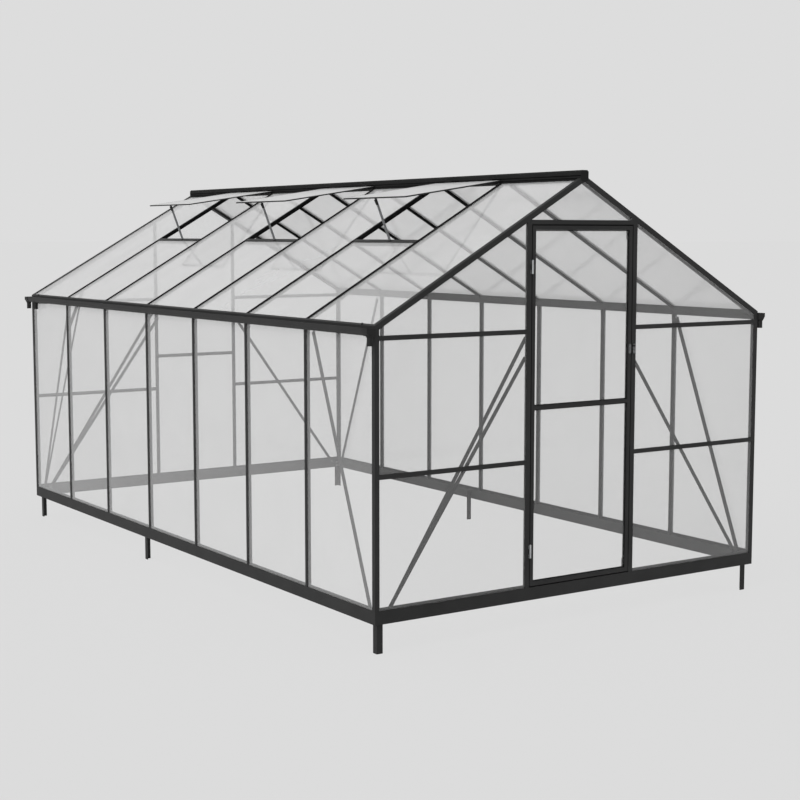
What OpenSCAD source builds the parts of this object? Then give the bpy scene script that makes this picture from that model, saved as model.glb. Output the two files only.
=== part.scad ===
// Free-standing greenhouse: a dark metal frame glazed with clear plastic sheets.
// X runs across the gables, Y along the house with the door gable at -Y, and Z is up.
// The origin is on the ground, under the middle of the house.

/* [House] */
// Width over the side walls
house_w = 2465; // [1900:1:3200]
// Spacing of the bars along the house
bay = 617.6; // [480:0.1:780]
// Length of the end bays, from a gable's face to the middle of the nearest bar
end_bay = 631; // [480:1:780]
// Number of bays along the house
bays = 7; // [4:1:12]
// Height of the roof's edge above the underside of the base
eaves_h = 1390; // [1120:1:1700]
// Slope of the roof, in degrees
pitch = 29.7; // [22:0.1:36]
// Height of the anchor legs that show below the base
leg_h = 146; // [60:1:240]

/* [Profiles] */
// Depth of the bars and of the base rails
bar_d = 26; // [22:0.5:36]
// Width of a bar's outer cap
cap_w = 20; // [16:0.5:30]
// Thickness of a bar's outer cap
cap_t = 4; // [3:0.5:6]
// Width of the outer cap of the gables' level rails
rail_cap_w = 23; // [16:0.5:30]
// Width of a bar's stem
stem_w = 8; // [5:0.5:12]
// Thickness of the clear sheets
sheet_t = 4; // [3:0.5:8]
// Width and depth of the corner posts
post_w = 25; // [18:0.5:30]
// Height of the base rails
base_h = 64; // [40:1:100]
// Height of the lips that hold the feet of the sheets
lip_h = 14; // [8:1:24]
// Thickness of those lips
lip_t = 4; // [2:0.5:6]
// Depth of the gable rafters, square to the roof
rafter_d = 27; // [22:0.5:44]
// Depth into the house of the flange along a rafter's lower edge
rafter_lip_w = 18; // [8:1:24]
// Thickness of that flange
rafter_lip_t = 3; // [2:0.5:6]
// Height of the eaves beams at the wall face
eaves_beam_h = 44; // [40:0.5:64]
// Width of the eaves beams' lip over the feet of the roof sheets
eaves_lip_w = 12; // [8:0.5:20]
// Depth of the roof bars, square to the roof
roof_bar_d = 23; // [20:0.5:26]
// Depth that the roof sheets enter the eaves beams
sheet_seat = 20; // [10:1:22]

/* [Ridge] */
// Width of the ridge beam
ridge_w = 48; // [40:1:64]
// Height of the ridge beam, from its tip to its top
ridge_h = 58.5; // [52:0.5:72]
// Height of the ridge beam's top above the roof's apex line
ridge_rise = 26; // [20:0.5:32]
// Height of the pointed underside of the ridge beam
ridge_point_h = 8.5; // [6:0.5:12]
// Chamfer on the ridge beam's top corners
ridge_chamfer = 8; // [4:0.5:12]
// Length of the ridge beam past each gable
ridge_over = 1; // [1:1:30]

/* [Anchor legs] */
// Width of each side of the leg angles
leg_w = 33; // [25:1:45]
// Thickness of the leg angles
leg_t = 3; // [2:0.5:5]
// Length of a leg that is fixed behind the base rail
leg_lap = 52; // [30:1:64]
// Distance from the middle of the house to the middle legs
mid_leg_y = 400; // [320:1:520]

/* [Gutters] */
// Width of the gutters beyond the walls
gutter_w = 46; // [44:1:70]
// Height of the gutters
gutter_h = 33; // [28:1:42]
// Width of a gutter's flat floor
gutter_floor = 36; // [34:1:42]
// Height of the sloped step between the floor and the lip
gutter_step = 15; // [8:1:20]
// Wall of the gutters
gutter_t = 2; // [1.5:0.5:3]
// Length of a gutter past each gable
gutter_over = 6; // [2:1:10]
// Outer diameter of the outlets
outlet_d = 28; // [22:1:30]
// Bore of the outlets
outlet_bore = 18; // [12:1:20]
// Length of the outlets below the gutter
outlet_l = 47; // [30:1:80]
// Distance from the wall face to the middle of an outlet
outlet_x = 23; // [20:1:24]
// Distance from the gable's face back to the middle of an outlet
outlet_in = 5; // [5:1:30]
// Distance from the outer outlet to the second one, at the back left only
outlet_step = 130; // [80:1:200]
// Length of gutter that an outlet's sleeve wraps
sleeve_l = 46; // [40:1:60]

/* [Door] */
// Width of the door leaf
door_w = 644; // [560:1:760]
// Width of the door leaf's stiles
stile_w = 20; // [16:0.5:30]
// Height of the leaf's top and bottom rails
door_rail_h = 22; // [16:0.5:40]
// Height of the leaf's middle rail
door_mid_h = 20; // [16:0.5:40]
// Height of the middle rail's centre above the underside of the base
door_mid_z = 958; // [700:1:1100]
// Thickness of the door leaf
leaf_t = 21; // [18:0.5:22]
// Width of the door posts
door_post_w = 27; // [22:0.5:36]
// Depth over which the door posts are that wide
door_post_front = 14; // [13:0.5:20]
// Step that narrows the door posts behind that depth
door_post_step = 12; // [1:0.5:14]
// Height of the header over the door
header_h = 22; // [18:0.5:30]
// Drop from the rafters to the header's top, at the door posts
header_drop = 1.2; // [1:0.1:8]
// Thickness of the stop strips behind the door leaf
stop_t = 3; // [2:0.5:4]
// Distance that the stops reach over the edges of the leaf
stop_lap = 6; // [3:0.5:10]
// Distance that the stops lap the frame round the door
stop_seat = 2.5; // [1:0.5:2.5]
// Outer diameter of the hinge knuckles
knuckle_d = 10; // [8:0.5:14]
// Diameter of the hinge pins
pin_d = 4; // [3:0.5:5]
// Height of a hinge
hinge_h = 66; // [50:1:90]
// Height of the middle knuckle
hinge_mid_h = 26; // [18:1:30]
// Width of a hinge's leaf
hinge_leaf_w = 14; // [12:0.5:18]
// Thickness of a hinge's leaf
hinge_leaf_t = 2.5; // [2:0.5:3]
// Distance from the leaf's bottom to the lower hinge
low_hinge_up = 143; // [80:1:300]
// Distance from the leaf's top to the upper hinge
high_hinge_down = 167; // [80:1:300]
// Height of the latch's middle above the underside of the base
latch_z = 1224; // [1000:1:1400]
// Height of the latch plates
latch_h = 50; // [40:1:70]
// Width of the latch plates
latch_w = 16; // [8:0.5:16]
// Thickness of the latch plates
latch_t = 4; // [3:0.5:6]

/* [Gable bars] */
// Height of the front gable's middle rails above the underside of the base
front_mid_z = 692; // [500:1:900]
// Height of the back gable's side rails
back_mid_z = 693; // [500:1:900]
// Height of the back gable's middle rail
back_centre_z = 929; // [700:1:1050]
// Drop from the roof's edge to the front gable's eaves rails
front_rail_drop = 57; // [50:1:90]
// Drop from the roof's edge to the back gable's eaves rails
back_rail_drop = 52; // [50:1:90]
// Distance from the middle of the house to the back posts
back_post_x = 310; // [250:1:400]

/* [Roof vents] */
// Length of a vent down the slope
vent_l = 616; // [500:1:700]
// Gap between a vent and the middle of the bar beside it
vent_side = 9; // [6:0.5:12]
// Angle that the open vents fall below level, in degrees
vent_fall = 8.5; // [6:0.1:16]
// Gap between the roof's face and an open vent's underside, at its hinges
vent_lift = 1; // [0.5:0.5:14]
// Width of a vent's edge rails
vent_rail_w = 12; // [10:0.5:20]
// Depth of a vent's edge rails
vent_rail_d = 7; // [6:0.5:16]
// Width of the seat that the vent's sheet lies on
vent_seat = 6; // [3:0.5:8]
// Distance from the ridge line to the cross rail below a vent
cross_x = 565; // [480:1:620]
// Width of a stay
stay_w = 13; // [8:0.5:20]
// Thickness of a stay
stay_t = 4; // [2:0.5:6]
// Distance from a vent's middle to the foot of its stay
stay_foot = 50; // [0:1:120]
// Distance from a vent's middle to the top of its stay
stay_head = 10; // [0:1:120]

/* [Braces] */
// Width of the gables' brace straps, of the knee strut and of the long strap
strap_w = 20; // [14:0.5:26]
// Width of the side walls' brace straps
side_strap_w = 26; // [18:0.5:30]
// Thickness of the brace straps
strap_t = 3; // [2:0.5:4]
// Distance from the end of a side wall to a strap's foot
side_foot = 78; // [75:1:150]
// Distance from the first bar's middle to the head of a side strap
side_head_in = 36; // [0:1:60]
// Distance from the side of a gable to a strap's foot
gable_foot = 90; // [85:1:150]
// Height of a strap's foot above the underside of the base
foot_z = 50; // [30:1:54]
// Drop from the roof's edge to the head of a side strap
side_head_drop = 58; // [56:1:120]
// Drop from the roof's edge to the head of the upper left gable strap
high_head_drop = 88; // [60:1:140]
// Drop from the roof's edge to the head of the lower left gable strap
low_head_drop = 186; // [160:1:260]
// Drop from the roof's edge to the head of the right gable strap
right_head_drop = 190; // [160:1:300]
// Distance from the wall face to the top of the knee strut
knee_in = 116; // [80:1:160]
// Drop from the roof's edge to the foot of the knee strut
knee_drop = 190; // [120:1:260]

/* [Clearances] */
// Gap round the edges of the sheets
sheet_gap = 0.5; // [0.3:0.1:1]
// Gap between flat faces that lie on each other on a slope or in a slot
face_gap = 0.05; // [0.02:0.01:0.2]
// Gap beside the door leaf
door_gap = 5; // [5:0.5:8]
// Gap over and under the door leaf
door_end_gap = 6; // [5:0.5:10]
// Gap round the hinge pins and between the knuckles
pin_gap = 0.3; // [0.2:0.1:0.5]
// Gap round the hinge pins in the knuckles that hold them
pin_slack = 0.05; // [0.02:0.01:0.1]
// Gap between pieces that are bolted side by side
bolted_gap = 0.3; // [0.2:0.1:0.8]

/* [Hidden] */
$fn = 48;
frame_col = [0.19, 0.20, 0.21];
sheet_col = [0.80, 0.86, 0.88, 0.5];
metal_col = [0.62, 0.63, 0.64];
plastic_col = [0.07, 0.07, 0.07];

half_w = house_w/2;
half_l = end_bay + bay*(bays - 2)/2;
base_z = leg_h;
sill_z = base_z + base_h;
edge_z = base_z + eaves_h;
apex_z = edge_z + half_w*tan(pitch);
beam_z = edge_z - eaves_beam_h;
sheet_in = cap_t + sheet_t;
open_w = door_w + 2*door_gap;
door_post_out = open_w/2 + door_post_w;
header_top = rafter_under(open_w/2) - header_drop;
header_low = header_top - header_h;
leaf_low = sill_z + door_end_gap;
leaf_top = header_low - door_end_gap;
hinge_x = -(door_w + door_gap)/2;
hinge_y = -half_l - knuckle_d/2;
hinge_zs = [leaf_low + low_hinge_up, leaf_top - high_hinge_down - hinge_h];
ridge_top = apex_z + ridge_rise;
gutter_end = half_l + gutter_over;
outlet_y = half_l - outlet_in;
vent_w = bay - 2*vent_side;
vent_hinge_x = ridge_w/2 + sheet_gap + vent_rail_d*sin(vent_fall);
vent_hinge_z = roof_under(ridge_w/2 + sheet_gap, 0) + vent_lift + vent_rail_d*cos(vent_fall);
vent_bays = [for (i = [1:2:bays - 2]) i];

// Height of a plane that lies a given depth below the roof's outer plane, at a given |x|.
function roof_under(x, depth) = edge_z + (half_w - abs(x))*tan(pitch) - depth/cos(pitch);
function rafter_under(x) = roof_under(x, rafter_d);
// Middle of the bar after a given number of bays.
function bar_y(i) = end_bay + (i - 1)*bay - half_l;
// Faces between which the sheets of a bay stand.
function bay_from(i) = i == 0 ? post_w - half_l : bar_y(i) + stem_w/2;
function bay_to(i) = i == bays - 1 ? half_l - post_w : bar_y(i + 1) - stem_w/2;
// A point of a vent, by its distance from the hinge line and its height over the top face.
function vent_point(run, rise) = [
    -vent_hinge_x - run*cos(vent_fall) - rise*sin(vent_fall),
    vent_hinge_z - run*sin(vent_fall) + rise*cos(vent_fall)
];

// ---- Profiles and outlines ----

// T-shaped bar: depth along +X from the outer face, width along Y.
module bar_profile(cap = cap_w) {
    translate([0, -cap/2]) square([cap_t, cap]);
    translate([0, -stem_w/2]) square([bar_d, stem_w]);
}

// Straight strip between two points.
module strip(a, b, width) {
    side = width/2*[a.y - b.y, b.x - a.x]/norm(b - a);
    polygon([a + side, a - side, b - side, b + side]);
}

// Flat bar between two points, turned so that its width leans with it.
module slanted_bar(a, b, width, thickness) {
    run = b - a;
    translate(a) rotate([atan2(-run.y, run.z), 0, 0]) rotate([0, asin(run.x/norm(run)), 0])
        translate([-width/2, -thickness/2, 0]) cube([width, thickness, norm(run)]);
}

// Region of a gable that lies under the rafters and the ridge beam.
module under_rafters() {
    side_z = rafter_under(half_w) - face_gap;
    intersection() {
        polygon([
            [-half_w, 0], [half_w, 0], [half_w, side_z], [0, rafter_under(0) - face_gap],
            [-half_w, side_z]
        ]);
        translate([-half_w, 0]) square([house_w, ridge_top - ridge_h - face_gap]);
    }
}

// Rectangle of a gable, cut off under the rafters.
module gable_area(x0, x1, z0, z1) {
    intersection() {
        translate([x0, z0]) square([x1 - x0, z1 - z0]);
        under_rafters();
    }
}

module ridge_profile() {
    side = ridge_w/2;
    shoulder = side - ridge_chamfer;
    low_z = ridge_top - ridge_h + ridge_point_h;
    polygon([
        [-shoulder, ridge_top], [shoulder, ridge_top], [side, ridge_top - ridge_chamfer],
        [side, low_z], [0, ridge_top - ridge_h], [-side, low_z], [-side, ridge_top - ridge_chamfer]
    ]);
}

// Outer outline of a gutter, grown outward by a wall, with the house wall on its +X side.
module gutter_outline(grow) {
    polygon([
        [0, -grow], [-gutter_floor - grow/2, -grow], [-gutter_w - grow, gutter_step - grow/2],
        [-gutter_w - grow, gutter_h], [0, gutter_h]
    ]);
}

// ---- Placing ----

// Raises a gable outline into a plate of the front gable, between two depths from its face.
module front_plate(from, to) {
    translate([0, to - half_l, 0]) rotate([90, 0, 0]) linear_extrude(to - from) children();
}

module back_side() { mirror([0, 1, 0]) children(); }

module right_side() { mirror([1, 0, 0]) children(); }

// Upright box of the left wall.
module left_box(y0, y1, z0, z1, from, to) {
    translate([from - half_w, y0, z0]) cube([to - from, y1 - y0, z1 - z0]);
}

// Bar that stands in the left wall.
module left_bar(y, z0, z1) {
    translate([-half_w, y, z0]) linear_extrude(z1 - z0) bar_profile();
}

// Bar that lies level in the front gable.
module front_rail(x0, x1, z) {
    translate([x0, -half_l, z]) rotate([90, 0, 90]) linear_extrude(x1 - x0)
        bar_profile(rail_cap_w);
}

// Plate that lies in the left roof slope between two depths, cut upright at both ends.
module slope_plate(y0, y1, from, to, x_out, x_in) {
    translate([0, y1, 0]) rotate([90, 0, 0]) linear_extrude(y1 - y0) polygon([
        [-x_out, roof_under(x_out, from)], [-x_in, roof_under(x_in, from)],
        [-x_in, roof_under(x_in, to)], [-x_out, roof_under(x_out, to)]
    ]);
}

// Puts a vent's own axes, X away from its hinge and Z out of its face, in place in a bay.
module at_vent(i) {
    translate([-vent_hinge_x, bar_y(i) + bay/2, vent_hinge_z])
        mirror([1, 0, 0]) rotate([0, vent_fall, 0]) children();
}

// ---- Base and legs ----

module base_front() {
    color(frame_col) translate([bar_d - half_w, -half_l, base_z])
        cube([house_w - 2*bar_d, bar_d, base_h]);
}

module base_back() { back_side() base_front(); }

module base_left() {
    color(frame_col) left_box(-half_l, half_l, base_z, sill_z, 0, bar_d);
}

module base_right() { right_side() base_left(); }

// Lip that stands on a gable's base rail, behind the sheets.
module gable_lip(x0, x1) {
    front_plate(sheet_in, sheet_in + lip_t) translate([x0 + sheet_gap, sill_z])
        square([x1 - x0 - 2*sheet_gap, lip_h]);
}

module side_lips() {
    for (i = [0:bays - 1])
        left_box(bay_from(i) + sheet_gap, bay_to(i) - sheet_gap, sill_z, sill_z + lip_h,
            sheet_in, sheet_in + lip_t);
}

module base_lips() {
    post_x = half_w - post_w;
    bar_x = back_post_x - stem_w/2;
    color(frame_col) {
        side_lips();
        right_side() side_lips();
        gable_lip(-post_x, -door_post_out);
        gable_lip(door_post_out, post_x);
        back_side() {
            gable_lip(-post_x, -bar_x - stem_w);
            gable_lip(-bar_x, bar_x);
            gable_lip(bar_x + stem_w, post_x);
        }
    }
}

// Angle with its outer corner on the origin.
module leg_angle() {
    linear_extrude(leg_h + leg_lap) {
        square([leg_w, leg_t]);
        square([leg_t, leg_w]);
    }
}

module corner_legs() {
    translate([bar_d - half_w, bar_d - half_l, 0]) leg_angle();
    back_side() translate([bar_d - half_w, bar_d - half_l, 0]) leg_angle();
}

module mid_leg() { translate([bar_d - half_w, 0, 0]) leg_angle(); }

module anchor_legs() {
    color(frame_col) {
        corner_legs();
        right_side() corner_legs();
        translate([0, mid_leg_y + leg_w, 0]) mirror([0, 1, 0]) mid_leg();
        right_side() translate([0, mid_leg_y, 0]) mid_leg();
    }
}

// ---- Walls ----

module corner_post() {
    front_plate(0, post_w) gable_area(-half_w, post_w - half_w, sill_z, apex_z);
}

module corner_posts() {
    color(frame_col) {
        corner_post();
        right_side() corner_post();
        back_side() corner_post();
        back_side() right_side() corner_post();
    }
}

module wall_bars_left() {
    color(frame_col) for (i = [1:bays - 1]) left_bar(bar_y(i), sill_z, beam_z);
}

module wall_bars_right() { right_side() wall_bars_left(); }

module wall_sheets_left() {
    color(sheet_col) for (i = [0:bays - 1])
        left_box(bay_from(i) + sheet_gap, bay_to(i) - sheet_gap, sill_z, beam_z - sheet_gap,
            cap_t + face_gap, sheet_in - face_gap);
}

module wall_sheets_right() { right_side() wall_sheets_left(); }

// ---- Eaves and gutters ----

// Beam with a sloped top, whose lip and slot hold the foot of the roof sheets.
module eaves_beam_left() {
    long = half_l - post_w;
    slot_x = half_w - bar_d + sheet_seat;
    color(frame_col) difference() {
        translate([0, long, 0]) rotate([90, 0, 0]) linear_extrude(2*long) polygon([
            [-half_w, beam_z], [bar_d - half_w, beam_z],
            [bar_d - half_w, roof_under(half_w - bar_d, 0)], [-half_w, edge_z]
        ]);
        slope_plate(-half_l, half_l, cap_t, sheet_in, slot_x, 0);
        slope_plate(-half_l, half_l, -cap_t, sheet_in, half_w - eaves_lip_w, 0);
    }
}

module eaves_beam_right() { right_side() eaves_beam_left(); }

module drain_hole(y) {
    translate([-half_w - outlet_x, y, beam_z - gutter_t]) cylinder(d = outlet_bore, h = 3*gutter_t);
}

module gutter() {
    difference() {
        translate([-half_w, gutter_end, beam_z]) rotate([90, 0, 0]) linear_extrude(2*gutter_end)
            difference() {
                gutter_outline(0);
                translate([-gutter_t, gutter_t]) polygon([
                    [0, 0], [2*gutter_t - gutter_floor, 0], [2*gutter_t - gutter_w, gutter_step],
                    [2*gutter_t - gutter_w, gutter_h], [0, gutter_h]
                ]);
            }
        drain_hole(-outlet_y);
        drain_hole(outlet_y);
    }
}

module gutter_left() {
    color(frame_col) difference() {
        gutter();
        drain_hole(outlet_y - outlet_step);
    }
}

module gutter_right() { color(frame_col) right_side() gutter(); }

// Short pipe under a gutter, with a flared neck.
module outlet_pipe() {
    neck_h = 8;
    flare = 5;
    difference() {
        union() {
            translate([0, 0, -outlet_l]) cylinder(d = outlet_d, h = outlet_l);
            translate([0, 0, -gutter_t - neck_h])
                cylinder(d1 = outlet_d, d2 = outlet_d + 2*flare, h = neck_h);
            translate([0, 0, -gutter_t]) cylinder(d = outlet_d + 2*flare, h = gutter_t);
        }
        translate([0, 0, -outlet_l - 1]) cylinder(d = outlet_bore, h = outlet_l + 2);
    }
}

// End fitting at the front: a sleeve round the gutter's end, an end plate and an outlet.
module end_outlet() {
    translate([-half_w, 0, beam_z]) {
        difference() {
            translate([0, sleeve_l - gutter_end - gutter_t, 0]) rotate([90, 0, 0])
                linear_extrude(sleeve_l) gutter_outline(gutter_t);
            translate([0, sleeve_l - gutter_end, 0]) rotate([90, 0, 0])
                linear_extrude(sleeve_l) gutter_outline(0);
            translate([-outlet_x, -outlet_y, -2*gutter_t]) cylinder(d = outlet_bore, h = 3*gutter_t);
        }
        translate([-outlet_x, -outlet_y, 0]) outlet_pipe();
    }
}

module side_outlets() {
    end_outlet();
    back_side() end_outlet();
}

module gutter_outlets() {
    color(plastic_col) {
        side_outlets();
        translate([-half_w - outlet_x, outlet_y - outlet_step, beam_z]) outlet_pipe();
        right_side() side_outlets();
    }
}

// ---- Roof ----

module ridge_bar() {
    long = half_l + ridge_over;
    translate([0, long, 0]) rotate([90, 0, 0]) linear_extrude(2*long) ridge_profile();
}

module ridge_beam() { color(frame_col) ridge_bar(); }

// Left rafter of the front gable: an L shape, notched round the ridge beam.
module rafter() {
    difference() {
        union() {
            slope_plate(-half_l, post_w - half_l, 0, rafter_d, half_w, bolted_gap/2);
            slope_plate(-half_l, post_w + rafter_lip_w - half_l, rafter_d - rafter_lip_t, rafter_d,
                half_w - bar_d, bolted_gap/2);
        }
        ridge_bar();
    }
}

module rafters_front() {
    color(frame_col) {
        rafter();
        right_side() rafter();
    }
}

module rafters_back() { back_side() rafters_front(); }

module roof_bars_left() {
    foot_x = half_w - bar_d;
    head_x = ridge_w/2;
    color(frame_col) for (i = [1:bays - 1]) {
        slope_plate(bar_y(i) - cap_w/2, bar_y(i) + cap_w/2, 0, cap_t, half_w - eaves_lip_w, head_x);
        slope_plate(bar_y(i) - stem_w/2, bar_y(i) + stem_w/2, 0, roof_bar_d, foot_x, head_x);
    }
}

module roof_bars_right() { right_side() roof_bars_left(); }

// Sheet of one roof bay, from its seat in the eaves beam up to a given |x|.
module roof_sheet(i, x_in) {
    slope_plate(bay_from(i) + sheet_gap, bay_to(i) - sheet_gap, cap_t + face_gap,
        sheet_in - face_gap, half_w - bar_d + sheet_seat - sheet_gap, x_in + sheet_gap);
}

module roof_sheets_left() {
    color(sheet_col) for (i = [0:bays - 1])
        roof_sheet(i, is_vent(i) ? cross_x + stem_w/2 : ridge_w/2);
}

function is_vent(i) = len([for (v = vent_bays) if (v == i) v]) > 0;

module roof_sheets_right() {
    color(sheet_col) right_side() for (i = [0:bays - 1]) roof_sheet(i, ridge_w/2);
}

// ---- Roof vents ----

module vent_cross_rails() {
    color(frame_col) for (i = vent_bays) {
        slope_plate(bar_y(i) + cap_w/2, bar_y(i + 1) - cap_w/2, 0, cap_t,
            cross_x + cap_w/2, cross_x - cap_w/2);
        slope_plate(bar_y(i) + stem_w/2, bar_y(i + 1) - stem_w/2, cap_t, roof_bar_d,
            cross_x + stem_w/2, cross_x - stem_w/2);
    }
}

// Rectangle of a vent, set in from its edges and centred on its width.
module vent_area(inset) {
    translate([inset, inset - vent_w/2]) square([vent_l - 2*inset, vent_w - 2*inset]);
}

module vent_frames() {
    color(frame_col) for (i = vent_bays) at_vent(i) difference() {
        translate([0, 0, -vent_rail_d]) linear_extrude(vent_rail_d) vent_area(0);
        translate([0, 0, -vent_rail_d - 1]) linear_extrude(vent_rail_d + 2) vent_area(vent_rail_w);
        translate([0, 0, -sheet_t]) linear_extrude(2*sheet_t) vent_area(vent_rail_w - vent_seat);
    }
}

module vent_sheets() {
    color(sheet_col) for (i = vent_bays) at_vent(i)
        translate([0, 0, face_gap - sheet_t]) linear_extrude(sheet_t - face_gap)
            vent_area(vent_rail_w - vent_seat + sheet_gap);
}

// Outline of the space between the roof's outer plane and an open vent.
module under_vent(top_rise) {
    far = vent_point(2*vent_l, top_rise);
    polygon([
        vent_point(0, top_rise), far, [far.x, roof_under(far.x, -face_gap)],
        [-vent_hinge_x, roof_under(vent_hinge_x, -face_gap)]
    ]);
}

// Strut from the cross rail's cap up to the vent's free edge, cut to fit both.
module stay() {
    top_rise = -vent_rail_d - face_gap;
    edge = vent_point(vent_l - vent_rail_w/2, top_rise);
    top = [edge.x, -stay_head, edge.y];
    foot = [-cross_x, -stay_foot, roof_under(cross_x, -face_gap)];
    spare = stay_w*(top - foot)/norm(top - foot);
    intersection() {
        slanted_bar(foot - spare, top + spare, stay_w, stay_t);
        translate([0, bay/2, 0]) rotate([90, 0, 0]) linear_extrude(bay) under_vent(top_rise);
    }
}

module vent_stays() {
    color(metal_col) for (i = vent_bays) translate([0, bar_y(i) + bay/2, 0]) stay();
}

// ---- Gables ----

module door_posts() {
    color(frame_col) for (s = [0, 1]) mirror([s, 0, 0]) {
        front_plate(0, door_post_front) gable_area(-door_post_out, -open_w/2, sill_z, apex_z);
        front_plate(0, bar_d)
            gable_area(door_post_step - door_post_out, -open_w/2, sill_z, apex_z);
    }
}

module door_header() {
    color(frame_col) front_plate(0, bar_d)
        gable_area(-open_w/2, open_w/2, header_low, header_top);
}

// Strips behind the edges of the door leaf: two beside it, one over it and one at its foot.
module door_stops() {
    side_x = open_w/2 + stop_seat;
    lap_x = door_w/2 - stop_lap;
    low_z = sill_z - stop_seat;
    high_z = header_low + stop_seat;
    color(frame_col) front_plate(bar_d, bar_d + stop_t) {
        for (s = [0, 1]) mirror([s, 0, 0]) translate([-side_x, low_z])
            square([side_x - lap_x, high_z - low_z]);
        for (z = [low_z, leaf_top - stop_lap]) translate([bolted_gap - lap_x, z])
            square([2*lap_x - 2*bolted_gap, high_z - leaf_top + stop_lap]);
    }
}

module rails_front() {
    color(frame_col) for (s = [0, 1], z = [base_z + front_mid_z, edge_z - front_rail_drop])
        mirror([s, 0, 0]) front_rail(post_w - half_w, -door_post_out, z);
}

module back_post() {
    intersection() {
        translate([-back_post_x, -half_l, sill_z]) rotate([0, 0, 90])
            linear_extrude(apex_z) bar_profile();
        front_plate(0, bar_d) under_rafters();
    }
}

module posts_back() {
    color(frame_col) back_side() {
        back_post();
        right_side() back_post();
    }
}

// Rail between two posts, whose stem reaches their stems and whose cap stops at their caps.
module fitted_rail(x0, x1, z, cap_x0, cap_x1) {
    front_plate(0, cap_t) translate([cap_x0, z - rail_cap_w/2])
        square([cap_x1 - cap_x0, rail_cap_w]);
    front_plate(cap_t, bar_d) translate([x0, z - stem_w/2]) square([x1 - x0, stem_w]);
}

module rails_back() {
    post_x = half_w - post_w;
    stem_x = back_post_x - stem_w/2;
    cap_x = back_post_x - cap_w/2;
    color(frame_col) back_side() {
        for (s = [0, 1], z = [base_z + back_mid_z, edge_z - back_rail_drop]) mirror([s, 0, 0])
            fitted_rail(-post_x, -stem_x - stem_w, z, -post_x, -cap_x - cap_w);
        fitted_rail(-stem_x, stem_x, base_z + back_centre_z, -cap_x, cap_x);
    }
}

// Sheet of a gable between two uprights and two heights, under the rafters.
module gable_sheet(x0, x1, z0, z1) {
    front_plate(cap_t + face_gap, sheet_in - face_gap) intersection() {
        gable_area(x0 + sheet_gap, x1 - sheet_gap, z0, z1);
        translate([0, -sheet_gap]) under_rafters();
    }
}

// Sheets of a gable's side bay: below the middle rail, above it, and under the rafter.
module side_bay_sheets(x1, mid_z, rail_z) {
    x0 = post_w - half_w;
    edge = stem_w/2 + sheet_gap;
    gable_sheet(x0, x1, sill_z, mid_z - edge);
    gable_sheet(x0, x1, mid_z + edge, rail_z - edge);
    gable_sheet(x0, x1, rail_z + edge, apex_z);
}

module gable_sheets_front() {
    color(sheet_col) {
        for (s = [0, 1]) mirror([s, 0, 0])
            side_bay_sheets(-door_post_out, base_z + front_mid_z, edge_z - front_rail_drop);
        gable_sheet(-open_w/2, open_w/2, header_top + sheet_gap, apex_z);
    }
}

module gable_sheets_back() {
    stem_x = back_post_x - stem_w/2;
    edge = stem_w/2 + sheet_gap;
    color(sheet_col) back_side() {
        for (s = [0, 1]) mirror([s, 0, 0])
            side_bay_sheets(-stem_x - stem_w, base_z + back_mid_z, edge_z - back_rail_drop);
        gable_sheet(-stem_x, stem_x, sill_z, base_z + back_centre_z - edge);
        gable_sheet(-stem_x, stem_x, base_z + back_centre_z + edge, apex_z);
    }
}

// ---- Braces ----

// Diagonal strap of the left wall's front end, flat against the bars.
module side_strap() {
    foot = [side_foot - half_l, base_z + foot_z];
    head = [bar_y(1) - side_head_in, edge_z - side_head_drop];
    translate([bar_d - half_w, 0, 0]) rotate([90, 0, 90])
        linear_extrude(strap_t) strip(foot, head, side_strap_w);
}

// Strut at the last bar on the left, from the wall bar up to the roof bar, beside both stems.
module knee_strut() {
    foot = [stem_w + strap_w/2 - half_w, edge_z - knee_drop];
    head = [knee_in - half_w, roof_under(half_w - knee_in, bar_d - strap_w/2)];
    translate([0, bar_y(bays - 1) + stem_w/2 + strap_t, 0]) rotate([90, 0, 0])
        linear_extrude(strap_t) strip(foot, head, strap_w);
}

// Long strap from the back left foot of the side wall up to the knee strut.
module long_strap() {
    foot = [bar_d + strap_t + bolted_gap + strap_t/2 - half_w, half_l - side_foot, base_z + foot_z];
    head = [
        knee_in - half_w, bar_y(bays - 1) + stem_w/2 + strap_t + strap_w/2,
        roof_under(half_w - knee_in, bar_d)
    ];
    slanted_bar(foot, head, strap_t, strap_w);
}

module side_braces() {
    color(frame_col) {
        side_strap();
        back_side() side_strap();
        right_side() side_strap();
        back_side() right_side() side_strap();
        knee_strut();
        long_strap();
    }
}

// Diagonal strap of a gable's left side, in a given layer behind the bars.
module gable_strap(head_x, drop, layer) {
    from = bar_d + layer*(strap_t + bolted_gap);
    front_plate(from, from + strap_t)
        strip([gable_foot - half_w, base_z + foot_z], [-head_x, edge_z - drop], strap_w);
}

module three_straps(head_x) {
    gable_strap(head_x, high_head_drop, 0);
    gable_strap(head_x, low_head_drop, 1);
    right_side() gable_strap(head_x, right_head_drop, 0);
}

module gable_braces() {
    color(frame_col) {
        three_straps(open_w/2 + door_post_w/2);
        back_side() three_straps(back_post_x);
    }
}

// ---- Door hinges and latch ----

module knuckle(height, bore) {
    difference() {
        cylinder(d = knuckle_d, h = height);
        translate([0, 0, -1]) cylinder(d = bore, h = height + 2);
    }
}

// Leaf plate that reaches from a knuckle to one side.
module hinge_plate(side, height) {
    lap = knuckle_d/2 - hinge_leaf_t;
    translate([side > 0 ? 0 : -hinge_leaf_w, lap, 0])
        cube([hinge_leaf_w, hinge_leaf_t, height]);
}

// Height of a fixed knuckle.
function end_knuckle_h() = (hinge_h - hinge_mid_h)/2 - pin_gap;

module fixed_knuckle() {
    knuckle(end_knuckle_h(), pin_d);
    hinge_plate(-1, end_knuckle_h());
}

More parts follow.
